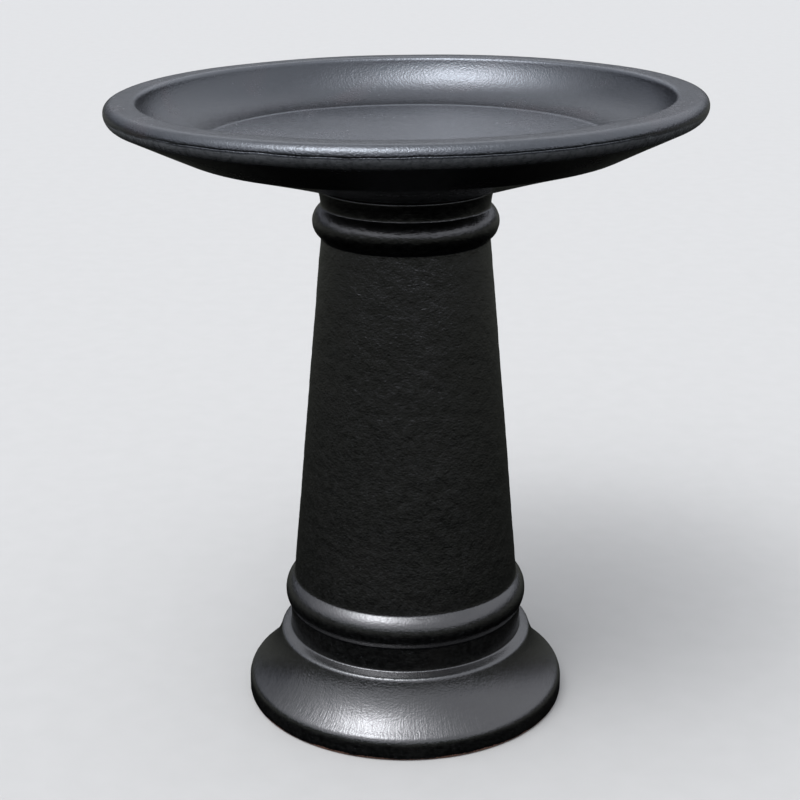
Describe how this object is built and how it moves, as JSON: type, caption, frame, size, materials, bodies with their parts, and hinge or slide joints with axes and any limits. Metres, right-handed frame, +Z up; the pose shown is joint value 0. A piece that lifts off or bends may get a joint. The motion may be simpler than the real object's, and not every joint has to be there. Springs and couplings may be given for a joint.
{
  "type": "bird bath",
  "caption": "Free-standing garden bird bath: a shallow round glazed bowl that lifts off a hollow turned pedestal with beaded mouldings and a flared foot.",
  "frame": {"origin": "on the ground at the middle of the pedestal's foot", "axes": "+Z up along the bath's axis of revolution; X and Y level"},
  "size_m": [0.508, 0.508, 0.558],
  "materials": {
    "pedestal_glaze": "semi-gloss graphite glaze with fine mottling",
    "bumper_rubber": "matte",
    "bowl_glaze": "semi-gloss graphite glaze with a slight metallic sheen"
  },
  "bodies": {
    "pedestal": {"pedestal": "pedestal_glaze", "seat_bumpers": "bumper_rubber"},
    "bowl": {"bowl": "bowl_glaze"}
  },
  "joints": [
    {"name": "bowl_lift", "type": "slide", "parent": "pedestal", "child": "bowl", "axis": [0, 0, 1], "range_m": [0, 0.15]}
  ]
}
